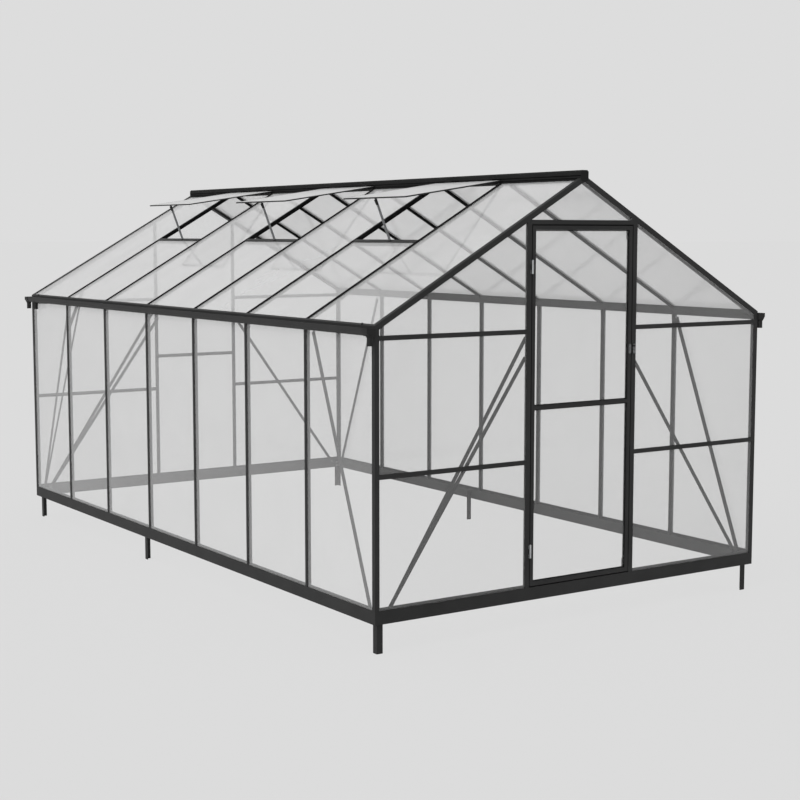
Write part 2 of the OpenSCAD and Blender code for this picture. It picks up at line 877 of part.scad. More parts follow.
module hinge_brackets() {
    color(metal_col) for (z = hinge_zs) translate([hinge_x, hinge_y, z]) {
        fixed_knuckle();
        translate([0, 0, hinge_h - end_knuckle_h()]) fixed_knuckle();
    }
}

module hinge_pins() {
    color(metal_col) for (z = hinge_zs) translate([hinge_x, hinge_y, z])
        cylinder(d = pin_d - 2*pin_slack, h = hinge_h);
}

module door_hinge_leaves() {
    color(metal_col) for (z = hinge_zs)
        translate([hinge_x, hinge_y, z + (hinge_h - hinge_mid_h)/2]) {
            knuckle(hinge_mid_h, pin_d + 2*pin_gap);
            hinge_plate(1, hinge_mid_h);
        }
}

// Plate with round ends, centred on the latch's height.
module latch_plate(x, height) {
    translate([x, -half_l, base_z + latch_z]) rotate([90, 0, 0]) linear_extrude(latch_t) {
        square([latch_w, height - latch_w], center = true);
        for (s = [-1, 1]) translate([0, s*(height - latch_w)/2]) circle(d = latch_w);
    }
}

module latch_keeper() {
    color(metal_col) latch_plate(open_w/2 + door_post_w/2, latch_h);
}

module door_latch() {
    color(metal_col) latch_plate((door_w - stile_w)/2, latch_h);
}

// ---- Door leaf ----

module door_stiles() {
    color(frame_col) for (s = [0, 1]) mirror([s, 0, 0]) front_plate(0, leaf_t)
        translate([-door_w/2, leaf_low]) square([stile_w, leaf_top - leaf_low]);
}

module leaf_rail(z0, height) {
    front_plate(0, leaf_t) translate([stile_w - door_w/2, z0]) square([door_w - 2*stile_w, height]);
}

module door_rails() {
    color(frame_col) {
        leaf_rail(leaf_low, door_rail_h);
        leaf_rail(base_z + door_mid_z - door_mid_h/2, door_mid_h);
        leaf_rail(leaf_top - door_rail_h, door_rail_h);
    }
}

module leaf_sheet(z0, z1) {
    mid = (leaf_t - sheet_t)/2;
    wide = door_w - 2*stile_w - 2*sheet_gap;
    front_plate(mid, mid + sheet_t) translate([-wide/2, z0 + sheet_gap])
        square([wide, z1 - z0 - 2*sheet_gap]);
}

module door_sheets() {
    mid_low = base_z + door_mid_z - door_mid_h/2;
    color(sheet_col) {
        leaf_sheet(leaf_low + door_rail_h, mid_low);
        leaf_sheet(mid_low + door_mid_h, leaf_top - door_rail_h);
    }
}

base_front();
base_back();
base_left();
base_right();
base_lips();
anchor_legs();
corner_posts();
wall_bars_left();
wall_bars_right();
eaves_beam_left();
eaves_beam_right();
gutter_left();
gutter_right();
gutter_outlets();
ridge_beam();
rafters_front();
rafters_back();
roof_bars_left();
roof_bars_right();
door_posts();
door_header();
door_stops();
rails_front();
posts_back();
rails_back();
wall_sheets_left();
wall_sheets_right();
gable_sheets_front();
gable_sheets_back();
roof_sheets_left();
roof_sheets_right();
vent_cross_rails();
vent_frames();
vent_sheets();
vent_stays();
side_braces();
gable_braces();
hinge_brackets();
hinge_pins();
latch_keeper();
door_stiles();
door_rails();
door_sheets();
door_hinge_leaves();
door_latch();
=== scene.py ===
"""Walk-in greenhouse: finishes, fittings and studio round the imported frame."""

import math

import bmesh
import bpy
from bpy.props import FloatProperty, FloatVectorProperty, PointerProperty
from bpy.types import Operator, Panel, PropertyGroup
from mathutils import Matrix, Vector


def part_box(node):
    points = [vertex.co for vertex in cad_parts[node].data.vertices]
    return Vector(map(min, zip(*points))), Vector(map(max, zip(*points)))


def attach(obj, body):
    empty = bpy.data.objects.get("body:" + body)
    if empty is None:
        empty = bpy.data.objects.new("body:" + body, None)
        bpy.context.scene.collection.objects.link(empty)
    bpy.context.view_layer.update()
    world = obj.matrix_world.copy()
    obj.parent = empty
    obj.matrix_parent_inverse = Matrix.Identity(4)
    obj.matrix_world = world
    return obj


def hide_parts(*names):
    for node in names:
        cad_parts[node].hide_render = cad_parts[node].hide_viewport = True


bl_info = {
    "name": "Walk-in greenhouse",
    "version": (1, 0, 0),
    "blender": (4, 5, 0),
    "location": "3D View > Sidebar > Greenhouse",
    "description": "Finishes, fittings and studio for the greenhouse",
    "category": "Object",
}

MM = 0.001
SIDES = (-1, 1)

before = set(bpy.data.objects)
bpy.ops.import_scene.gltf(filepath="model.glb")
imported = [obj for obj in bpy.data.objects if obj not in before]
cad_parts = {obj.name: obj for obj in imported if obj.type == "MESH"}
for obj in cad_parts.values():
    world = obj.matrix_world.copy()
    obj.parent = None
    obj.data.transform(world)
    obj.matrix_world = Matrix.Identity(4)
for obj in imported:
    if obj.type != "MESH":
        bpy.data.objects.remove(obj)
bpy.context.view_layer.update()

# ---- Places, worked out from the frame ----

POSTS_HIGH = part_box("corner_posts")[1]
BASE_LOW, BASE_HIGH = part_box("base_left")
BEAM_LOW, BEAM_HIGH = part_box("eaves_beam_left")
RIDGE_LOW, RIDGE_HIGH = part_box("ridge_beam")
LEAF_LOW, LEAF_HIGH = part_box("door_stiles")
PINS_LOW, PINS_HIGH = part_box("hinge_pins")
VENTS_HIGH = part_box("vent_frames")[1]
GUTTER_LOW, GUTTER_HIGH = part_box("gutter_left")

HALF_W = POSTS_HIGH.x
HALF_L = POSTS_HIGH.y
DEPTH = BEAM_HIGH.x + HALF_W
BAYS = 7
END_BAY = 631 * MM
BAY = 2 * (HALF_L - END_BAY) / (BAYS - 2)
VENT_BAYS = range(1, BAYS - 1, 2)
PITCH = math.radians(29.7)
EAVES_LIP = 12 * MM
EDGE_Z = BEAM_HIGH.z - EAVES_LIP * math.tan(PITCH)
ROOF_BAR_D = 23 * MM
STEM_W = 8 * MM
HINGE_H = 66 * MM
STRAP_T = 3 * MM
SCREW_PROUD = 1 * MM
# A washer's thickness as a share of its bolt's head, and the radius of a screw's top as one of the
# screw's width.
WASHER_SHARE = 0.35
SCREW_TOP_SHARE = 0.36
# Sides of a bolt's head, and half of the angle between two of its corners.
HEX_SIDES = 6
HEX_HALF_ANGLE = math.pi / HEX_SIDES
# Sides of the round shapes: screws and thin rods, washers and bosses, other rods, and knuckles.
THIN_SIDES, BOSS_SIDES, ROD_SIDES, KNUCKLE_SIDES = 16, 20, 24, 32
# Edges that turn by more than this are rounded.
SHARP_ANGLE = math.radians(50)
# Cosine past which an edge counts as running along an axis.
ALONG = 0.99


def linear(code):
    """Linear colour of an sRGB hex value."""
    parts = [int(code[place : place + 2], 16) / 255 for place in (0, 2, 4)]
    return tuple(
        part / 12.92 if part <= 0.04045 else ((part + 0.055) / 1.055) ** 2.4 for part in parts
    )


def bar_y(i):
    """Middle of the bar after a number of bays."""
    return END_BAY + (i - 1) * BAY - HALF_L


def roof_spot(side, x, y, depth=0.0):
    """Point of a roof slope at a distance x from the ridge line, a depth below its outer plane."""
    return Vector((side * x, y, EDGE_Z + (HALF_W - x) * math.tan(PITCH) - depth / math.cos(PITCH)))


def roof_turn(side):
    """Axes of a roof slope as columns: down the slope, along the house, out of the roof."""
    down = Vector((side * math.cos(PITCH), 0, -math.sin(PITCH)))
    out = Vector((side * math.sin(PITCH), 0, math.cos(PITCH)))
    return Matrix((down, out.cross(down), out)).transposed()


# ---- Sizes and colours ----


def length(name, text, millimetres):
    """Length property with a default in millimetres."""
    return FloatProperty(
        name=name, description=text, subtype="DISTANCE", unit="LENGTH", min=0,
        default=millimetres * MM,
    )


def colour(name, text, code):
    """Colour property with an sRGB hex default."""
    return FloatVectorProperty(
        name=name, description=text, subtype="COLOR", size=3, min=0, max=1, default=linear(code),
    )


class GreenhouseFinishes(PropertyGroup):
    """Colours and surface of the greenhouse."""

    coat: colour("Powder coat", "Colour of the coated frame", "292929")
    # The roof bars' coat is the frame's powder coat made near black: painted shade.
    shaded_bar_coat: colour("Roof bar coat", "Colour of the matt coat on the roof's bars", "171717")
    # The ridge's coat is the frame's powder coat made darker: painted shade.
    shaded_ridge_coat: colour("Ridge coat", "Colour of the matt coat on the ridge beam", "212121")
    sheet: colour("Sheet", "Tint of the upright sheets", "D2D2D2")
    # The sheets' tint follows the way a face looks: white on faces that look down is painted light
    # from below.
    upward_tint: colour("Sheet facing up", "Tint of the sheets where they face the sky", "D6D6D6")
    clean: colour("Sheet lit from below", "Tint of the sheets where they face the ground", "FFFFFF")
    metal: colour("Bare metal", "Colour of hinges, latch and cleats", "B4B6B7")
    zinc: colour("Zinc", "Colour of the stays and bolts", "8A8B8C")
    blackened: colour("Blackened steel", "Colour of the latch", "6A6B6C")
    plastic: colour("Plastic", "Colour of the gutter fittings", "101010")
    rubber: colour("Rubber", "Colour of the door's seals", "0E0E0E")


class GreenhouseFittings(PropertyGroup):
    """Sizes of the small fittings."""

    bolt_flats: length("Bolt head", "Width of a bolt's head across its flats", 10)
    bolt_head: length("Bolt head height", "Height of a bolt's head", 4)
    washer: length("Washer", "Diameter of a washer", 14)
    screw: length("Screw head", "Diameter of a screw's head", 5)
    cleat_w: length("Cleat", "Width of each side of a cleat", 18)
    cleat_h: length("Cleat length", "Length of a cleat along its bar", 28)
    cleat_t: length("Cleat thickness", "Thickness of a cleat", 2)
    groove_h: length("Ridge groove", "Height of the grooves along the ridge beam", 5)
    groove_d: length("Ridge groove depth", "Depth of the grooves along the ridge beam", 12)
    groove_down: length("Ridge band", "Distance from the ridge beam's top to its first groove", 25)
    lip_h: length("Ridge lip", "Height of the lip between the ridge beam's grooves", 8)
    strip_w: length("Ridge strip", "Width of the strips that seal the roof against the ridge", 16)
    bead: length("Gutter bead", "Diameter of the rolled edge of a gutter", 5)
    seal_w: length("Door seal", "Width of the rubber round the door's sheets", 4)
    edge: length("Edge", "Rounding of the fittings' edges", 0.5)


class GreenhouseStudio(PropertyGroup):
    """Light, floor and camera."""

    backdrop: colour("Backdrop", "Colour of the floor and the background", "DDDDDD")
    floor_glow: FloatProperty(
        name="Floor glow", description="Share of the floor that shows its plain colour",
        subtype="FACTOR", min=0, max=1, default=0.92,
    )
    sky_level: FloatProperty(
        name="Sky level", description="Strength of the even light", min=0, max=4, default=0.72,
    )
    lamp_level: FloatProperty(
        name="Lamp level", description="Strength of the soft lamp", min=0, max=10, default=1.15,
    )
    lamp_spread: FloatProperty(
        name="Lamp spread", description="Angle that the lamp fills", subtype="ANGLE",
        unit="ROTATION", min=0, max=math.pi, default=math.radians(40),
    )
    lamp_aim: FloatVectorProperty(
        name="Lamp aim", description="Way that the lamp shines", subtype="DIRECTION", size=3,
        default=(2.4, 0.6, -1.2),
    )
    focal: FloatProperty(
        name="Focal length", description="Focal length on a 36 mm wide sensor", min=10,
        max=300, default=69.8,
    )
    eye: FloatVectorProperty(
        name="Eye", description="Place of the camera", subtype="TRANSLATION", unit="LENGTH", size=3,
        default=(-5.0347, -8.0951, 1.9516),
    )
    yaw: FloatProperty(
        name="Yaw", description="Turn of the camera from the ridge line to the right",
        subtype="ANGLE", unit="ROTATION", default=math.radians(33.65),
    )
    fall: FloatProperty(
        name="Fall", description="Tilt of the camera below the horizon",
        subtype="ANGLE", unit="ROTATION", default=math.radians(6.11),
    )


# ---- Materials ----


def add(tree, kind, settings=None, **links):
    """Adds a node with its settings and its links, where at0 links to the first socket."""
    made = tree.nodes.new(kind)
    for key, value in (settings or {}).items():
        if isinstance(key, str) and hasattr(made, key):
            setattr(made, key, value)
        else:
            made.inputs[key].default_value = value
    for key, source in links.items():
        socket = int(key[2:]) if key[2:].isdigit() else key.replace("_", " ")
        tree.links.new(source, made.inputs[socket])
    return made


def new_material(name):
    """Empty node material and its tree."""
    made = bpy.data.materials.new(name)
    made.use_nodes = True
    made.node_tree.nodes.clear()
    return made, made.node_tree


def shade(tint, factor):
    """A colour as a colour ramp takes it, lighter or darker by a factor."""
    return tuple(min(1, c * factor) for c in tint) + (1,)


def pattern(tree, size_mm, detail=3.0, stretch=(1, 1, 1)):
    """Noise from 0 to 1 on object coordinates, with blots of about a size in millimetres."""
    spot = add(tree, "ShaderNodeTexCoord")
    scale = tuple(1 / (size_mm * MM * part) for part in stretch)
    place = add(tree, "ShaderNodeMapping", {"Scale": scale}, Vector=spot.outputs["Object"])
    blots = {"Scale": 1.0, "Detail": detail}
    noise = add(tree, "ShaderNodeTexNoise", blots, Vector=place.outputs[0])
    return noise.outputs["Fac"]


# Where in a pattern the darker tone of a colour ends, and where its lighter one starts.
TONE_STOPS = (0.35, 0.65)


def toned(tree, source, tint, low, high):
    """Ramp from a darker to a lighter tone of a colour, driven by a pattern."""
    ramp = add(tree, "ShaderNodeValToRGB", at0=source)
    for stop, place, factor in zip(ramp.color_ramp.elements, TONE_STOPS, (low, high)):
        stop.position = place
        stop.color = shade(tint, factor)
    return ramp.outputs["Color"]


def skinned(name, settings, tint, clouds, tones, wear, rough, grain, rise_mm, relief):
    """Principled material.

    Clouds, wear and grain are the patterns of its colour, its roughness and its bump. Tones and
    rough are the ranges of the first two, rise_mm and relief the bump's height and strength.
    """
    made, tree = new_material(name)
    drift = toned(tree, pattern(tree, *clouds), tint, *tones)
    spread = {"To Min": rough[0], "To Max": rough[1]}
    worn = add(tree, "ShaderNodeMapRange", spread, Value=pattern(tree, *wear))
    rise = {"Strength": relief, "Distance": rise_mm * MM}
    bump = add(tree, "ShaderNodeBump", rise, Height=pattern(tree, *grain))
    skin = add(
        tree, "ShaderNodeBsdfPrincipled", settings, Base_Color=drift,
        Roughness=worn.outputs["Result"], Normal=bump.outputs["Normal"],
    )
    add(tree, "ShaderNodeOutputMaterial", Surface=skin.outputs["BSDF"])
    return made


def coated_aluminium(look):
    """Powder coated extrusion: a satin baked film with a fine orange peel and a drift of dust."""
    # The film's grain is about 0.5 mm: drawn at 4 mm, because less doesn't show.
    return skinned(
        "powder_coated_aluminium", {"IOR": 1.5, "Specular IOR Level": 0.2}, look.coat,
        clouds=(160, 4.0), tones=(0.9, 1.12), wear=(4,), rough=(0.5, 0.6),
        grain=(4,), rise_mm=0.2, relief=0.15,
    )


def matt_coated(name, tint, gloss):
    """Matt powder coat on aluminium: a coarser film that takes the light without a glint."""
    # The film's grain is about 0.8 mm: drawn at 5 mm, because less doesn't show.
    return skinned(
        name, {"IOR": 1.5, "Specular IOR Level": gloss}, tint,
        clouds=(200, 4.0), tones=(0.88, 1.15), wear=(5,), rough=(0.7, 0.8),
        grain=(5,), rise_mm=0.3, relief=0.2,
    )


def matt_shaded_bar_aluminium(look):
    """Matt coat of the roof's bars: near black, which is painted shade on the frame's coat, and
    without gloss.
    """
    return matt_coated("matt_shaded_bar_aluminium", look.shaded_bar_coat, 0.05)


def matt_shaded_ridge_aluminium(look):
    """Matt coat of the ridge beam: darker than the frame's coat as painted shade, and a little
    paler than the bars.
    """
    return matt_coated("matt_shaded_ridge_aluminium", look.shaded_ridge_coat, 0.1)


def mill_aluminium(look):
    """Mill finished aluminium: pale, dull metal with fine drawing lines."""
    # Drawing lines are long and about 0.3 mm apart: drawn at 1.5 mm, because less doesn't show.
    drawn = (1.5, 3.0, (1, 1, 26))
    return skinned(
        "mill_aluminium", {"Metallic": 1.0}, look.metal,
        clouds=drawn, tones=(0.9, 1.08), wear=drawn, rough=(0.38, 0.55),
        grain=drawn, rise_mm=0.1, relief=0.2,
    )


def zinc_plated_steel(look):
    """Zinc plated steel of bolts and stays: grey metal with a cloudy bloom."""
    return skinned(
        "zinc_plated_steel", {"Metallic": 1.0}, look.zinc,
        clouds=(9,), tones=(0.8, 1.2), wear=(5,), rough=(0.45, 0.6),
        grain=(2,), rise_mm=0.1, relief=0.15,
    )


def blackened_steel(look):
    """Blackened steel of the latch: dark metal with a soft gleam and paler worn spots."""
    return skinned(
        "blackened_steel", {"Metallic": 1.0}, look.blackened,
        clouds=(6,), tones=(0.6, 1.5), wear=(4,), rough=(0.35, 0.5),
        grain=(2,), rise_mm=0.1, relief=0.2,
    )


def moulded_nylon(look):
    """Moulded black nylon: matt skin with a light spark-eroded grain."""
    # Mould grain is about 0.4 mm: drawn at 2 mm, because less doesn't show.
    mould = (2, 2.0)
    return skinned(
        "moulded_nylon", {"IOR": 1.53, "Specular IOR Level": 0.3}, look.plastic,
        clouds=mould, tones=(0.85, 1.2), wear=mould, rough=(0.5, 0.65),
        grain=mould, rise_mm=0.2, relief=0.2,
    )


def extruded_rubber(look):
    """Extruded EPDM rubber: black and dead matt, with faint die lines along it."""
    return skinned(
        "extruded_rubber", {"IOR": 1.5, "Specular IOR Level": 0.15}, look.rubber,
        clouds=(20,), tones=(0.85, 1.2), wear=(3,), rough=(0.75, 0.9),
        grain=(3,), rise_mm=0.1, relief=0.2,
    )


# How much one face of a sheet hides, by how far it is turned from the eye: 0 is face on.
VEIL = ((0, 0.085), (0.234, 0.105), (0.47, 0.177), (0.65, 0.31), (0.724, 0.43), (0.8, 0.58), (1, 1))
# Upright part of a face's normal at which the tint of faces that look up, and the painted light on
# faces that look down, is full.
TINT_SLOPE = 0.8


def polycarbonate(look, name, gloss):
    """Extruded polycarbonate: face on a light grey veil, and ever paler and denser at a slant."""
    made, tree = new_material(name)
    slant = add(tree, "ShaderNodeLayerWeight", {"Blend": 0.5})
    veil = add(tree, "ShaderNodeValToRGB", at0=slant.outputs["Facing"])
    stops = veil.color_ramp.elements
    for place, _ in VEIL[1:-1]:
        stops.new(place)
    for stop, (place, hides) in zip(stops, VEIL):
        stop.position = place
        stop.color = (hides, hides, hides, 1)
    # Faces that look up take a slightly paler tint, and faces that look down are white: painted
    # light from below. The melt is cloudy, in blots of about 240 mm.
    facing = add(tree, "ShaderNodeNewGeometry").outputs["Normal"]
    level = add(tree, "ShaderNodeSeparateXYZ", at0=facing)
    upward = add(
        tree, "ShaderNodeMapRange", {"From Min": -TINT_SLOPE, "From Max": TINT_SLOPE},
        Value=level.outputs["Z"],
    )
    film = add(tree, "ShaderNodeValToRGB", at0=upward.outputs["Result"])
    tones = film.color_ramp.elements
    tones.new(0.5)
    for tone, tint in zip(tones, (look.clean, look.sheet, look.upward_tint)):
        tone.color = (*tint, 1)
    melt, smears, near_white = (240, 2.0), (30, 2.0), (0.98, 0.98, 0.98)
    tint = add(
        tree, "ShaderNodeMixRGB", {"blend_type": "MULTIPLY", "Fac": 1.0},
        Color1=film.outputs["Color"],
        Color2=toned(tree, pattern(tree, *melt), near_white, 0.98, 1.02),
    )
    spread = {"To Min": gloss[0], "To Max": gloss[1]}
    smeared = add(tree, "ShaderNodeMapRange", spread, Value=pattern(tree, *smears))
    skin = add(
        tree, "ShaderNodeBsdfPrincipled", {"IOR": 1.585, "Specular IOR Level": 0.5},
        Base_Color=tint.outputs["Color"], Roughness=smeared.outputs["Result"],
        Alpha=veil.outputs["Color"],
    )
    add(tree, "ShaderNodeOutputMaterial", Surface=skin.outputs["BSDF"])
    return made


def clear_polycarbonate(look):
    """Clear sheets of the walls and the roof: a smooth, unweathered skin that mirrors what stands
    near it.
    """
    return polycarbonate(look, "clear_polycarbonate", (0.03, 0.06))


def weathered_polycarbonate(look):
    """Clear sheets of the vents, which lie flat: a skin dulled by rain and dust."""
    return polycarbonate(look, "weathered_polycarbonate", (0.25, 0.35))


MAKERS = (
    coated_aluminium, matt_shaded_bar_aluminium, matt_shaded_ridge_aluminium, mill_aluminium,
    zinc_plated_steel, blackened_steel, moulded_nylon, extruded_rubber, clear_polycarbonate,
    weathered_polycarbonate,
)
FINISHES = {
    "frame_metal": "powder_coated_aluminium",
    "clear_sheet": "clear_polycarbonate",
    "bare_metal": "mill_aluminium",
    "black_plastic": "moulded_nylon",
}
# Nodes whose surface differs from the usual one of their slot.
OWN_FINISHES = {
    "vent_stays": "zinc_plated_steel",
    # The roof's bars take the darker matt coat, which is painted shade.
    "roof_bars_left": "matt_shaded_bar_aluminium",
    "roof_bars_right": "matt_shaded_bar_aluminium",
    "vent_sheets": "weathered_polycarbonate",
}


class GREENHOUSE_OT_finishes(Operator):
    """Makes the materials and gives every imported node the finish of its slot"""

    bl_idname = "greenhouse.finishes"
    bl_label = "Finish the frame"

    def execute(self, context):
        look = context.scene.greenhouse_finishes
        for maker in MAKERS:
            maker(look)
        for name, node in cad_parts.items():
            slot = node.data.materials[0].name
            node.data.materials[0] = bpy.data.materials[OWN_FINISHES.get(name, FINISHES[slot])]
        return {"FINISHED"}


# ---- Shapes ----


def aimed(axis):
    """Turn that brings Z onto an axis."""
    return Vector(axis).to_track_quat("Z", "Y").to_matrix()


def placed(spot, turn=None):
    """Matrix that turns a shape and moves it to a spot."""
    return Matrix.Translation(spot) @ (turn or Matrix.Identity(3)).to_4x4()


def rounded(bm, verts, width, segments=2, along=None):
    """Rounds the sharp edges between some corners, or only those along one axis."""
    near = set(verts)
    edges = [e for e in {e for v in verts for e in v.link_edges} if near.issuperset(e.verts)]
    edges = [e for e in edges if len(e.link_faces) == 2 and e.calc_face_angle() > SHARP_ANGLE]
    if along is not None:
        runs = {e: (e.verts[0].co - e.verts[1].co).normalized() for e in edges}
        edges = [e for e in edges if abs(runs[e].dot(along)) > ALONG]
    bmesh.ops.bevel(
        bm, geom=edges, offset=width, segments=segments, profile=0.5, affect="EDGES", material=-1
    )


def block(bm, spot, size, turn=None, edge=0.0):
    """Block of a size round a spot."""
    shape = placed(spot, turn) @ Matrix.Diagonal((*size, 1))
    verts = bmesh.ops.create_cube(bm, size=1, matrix=shape)["verts"]
    if edge:
        rounded(bm, verts, edge)
    return verts


def slab(bm, low, high, edge=0.0):
    """Block between two corners."""
    low, high = Vector(low), Vector(high)
    return block(bm, (low + high) / 2, high - low, edge=edge)


def rod(bm, start, end, radius, sides=ROD_SIDES, end_radius=None, edge=0.0):
    """Round or many-sided rod between two points."""
    start, end = Vector(start), Vector(end)
    verts = bmesh.ops.create_cone(
        bm, cap_ends=True, segments=sides, radius1=radius,
        radius2=radius if end_radius is None else end_radius, depth=(end - start).length,
        matrix=placed((start + end) / 2, aimed(end - start)),
    )["verts"]
    if edge:
        rounded(bm, verts, edge)
    return verts


def extruded(bm, outline, reach):
    """Solid that a closed outline of points sweeps along a vector."""
    face = bm.faces.new([bm.verts.new(point) for point in outline])
    grown = bmesh.ops.extrude_face_region(bm, geom=[face])["geom"]
    corners = [v for v in grown if isinstance(v, bmesh.types.BMVert)]
    bmesh.ops.translate(bm, vec=reach, verts=corners)


def bolt(bm, sizes, spot, axis):
    """Hexagon bolt head on its washer, standing out along an axis."""
    spot, axis = Vector(spot), Vector(axis).normalized()
    washer_top = spot + axis * sizes.bolt_head * WASHER_SHARE
    rod(bm, spot, washer_top, sizes.washer / 2, BOSS_SIDES)
    across_corners = sizes.bolt_flats / math.cos(HEX_HALF_ANGLE)
    head_top = washer_top + axis * sizes.bolt_head
    rod(bm, washer_top, head_top, across_corners / 2, HEX_SIDES, edge=sizes.edge)


def screw(bm, sizes, spot, axis, proud=SCREW_PROUD):
    """Low pan head of a screw."""
    spot, axis = Vector(spot), Vector(axis).normalized()
    top_radius = sizes.screw * SCREW_TOP_SHARE
    rod(bm, spot, spot + axis * proud, sizes.screw / 2, THIN_SIDES, top_radius)


def finish_piece(name, bm, body, material, replaced=()):
    """Makes a piece of a mesh, with its body, slot, material and the nodes that it stands for."""
    bmesh.ops.recalc_face_normals(bm, faces=bm.faces)
    mesh = bpy.data.meshes.new(name)
    bm.to_mesh(mesh)
    bm.free()
    mesh.materials.append(bpy.data.materials[material])
    piece = bpy.data.objects.new(name, mesh)
    bpy.context.scene.collection.objects.link(piece)
    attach(piece, body)
    if replaced:
        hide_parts(*replaced)
    return piece


# ---- Ridge ----


class GREENHOUSE_OT_ridge(Operator):
    """Ridge beam, grooved, with a screwed plate at each end and a black sealing strip on each slope
    that also paints the shadow in the ridge's slot
    """

    bl_idname = "greenhouse.ridge"
    bl_label = "Ridge beam"

    def execute(self, context):
        sizes = context.scene.greenhouse_fittings
        chamfer, point_h = 8 * MM, 8.5 * MM
        side, top, tip = RIDGE_HIGH.x, RIDGE_HIGH.z, RIDGE_LOW.z
        flat = [(side - chamfer, top), (side, top - chamfer)]
        low = [(side, tip + point_h), (0, tip)]
        grooves = []
        upper = top - sizes.groove_down
        for level in (upper, upper - sizes.groove_h - sizes.lip_h):
            grooves += [
                (side, level), (side - sizes.groove_d, level),
                (side - sizes.groove_d, level - sizes.groove_h), (side, level - sizes.groove_h),
            ]
        bm = bmesh.new()
        self.bar(bm, flat + grooves + low, -HALF_L, HALF_L)
        for end in SIDES:
            self.bar(bm, flat + low, end * HALF_L, end * RIDGE_HIGH.y)
        # The beam's darker coat is painted shade.
        finish_piece(
            "ridge_beam_grooved", bm, "frame", "matt_shaded_ridge_aluminium",
            ["ridge_beam"],
        )
        bm = bmesh.new()
        upper_z, lower_z = top - 2 * chamfer, tip + 2 * point_h
        for end in SIDES:
            for x, z in ((-side / 2, upper_z), (side / 2, upper_z), (0, lower_z)):
                screw(bm, sizes, (x, end * RIDGE_HIGH.y, z), (0, end, 0))
        finish_piece("ridge_screws", bm, "frame", "matt_shaded_ridge_aluminium")
        bm = bmesh.new()
        # The strips are rubber seals, and their black also paints the shadow in the slot where the
        # sheets go into the ridge.
        # Depths of the strips' top, just below the bars' caps, and of their seat on the sheets.
        strip_top, strip_seat = 0.5 * MM, 4 * MM
        strip_size = (sizes.strip_w, 2 * (HALF_L - DEPTH), strip_seat - strip_top)
        for way in SIDES:
            turn = roof_turn(way)
            at_ridge = roof_spot(way, side, 0, (strip_top + strip_seat) / 2)
            block(bm, at_ridge + turn.col[0] * sizes.strip_w / 2, strip_size, turn, sizes.edge)
        finish_piece("ridge_strips", bm, "frame", "extruded_rubber")
        return {"FINISHED"}

    def bar(self, bm, half, start, end):
        """Length of the ridge beam with half its outline given from its top down."""
        mirrored = [(-x, z) for x, z in reversed(half) if x > 0]
        extruded(bm, [(x, start, z) for x, z in half + mirrored], (0, end - start, 0))


# ---- Bolts and cleats ----


class GREENHOUSE_OT_cleats(Operator):
    """Cleats that join the wall and roof bars to the base, the eaves beams and the ridge"""

    bl_idname = "greenhouse.cleats"
    bl_label = "Cleats"

    def execute(self, context):
        sizes = context.scene.greenhouse_fittings
        cleats, bolts = bmesh.new(), bmesh.new()
        for i in range(1, BAYS):
            for side in SIDES:
                upright = Matrix(((0, 0, side), (0, side, 0), (1, 0, 0)))
                inner = side * (HALF_W - DEPTH)
                for z, way in ((BASE_HIGH.z, 1), (BEAM_LOW.z, -1)):
                    self.cleat(cleats, bolts, sizes, Vector((inner, bar_y(i), z)), upright, way)
                slope = roof_turn(side)
                foot = roof_spot(side, HALF_W - DEPTH, bar_y(i), ROOF_BAR_D)
                head = roof_spot(side, RIDGE_HIGH.x, bar_y(i), ROOF_BAR_D)
                self.cleat(cleats, bolts, sizes, foot, slope, -1)
                self.cleat(cleats, bolts, sizes, head, slope, 1)
        finish_piece("bar_cleats", cleats, "frame", "powder_coated_aluminium")
        finish_piece("cleat_bolts", bolts, "frame", "zinc_plated_steel")
        return {"FINISHED"}

    def cleat(self, cleats, bolts, sizes, spot, turn, way):
        """Plate bolted beside a stem's inner edge. The turn's columns are along, across and out."""
        along, across, out = (turn.col[i] for i in range(3))
        centre = spot + along * way * sizes.cleat_h / 2 + out * sizes.cleat_w / 2
        beside = across * (STEM_W + sizes.cleat_t) / 2
        block(
            cleats, centre + beside, (sizes.cleat_h, sizes.cleat_t, sizes.cleat_w), turn, sizes.edge
        )
        bolt(bolts, sizes, centre + beside + across * sizes.cleat_t / 2, across)


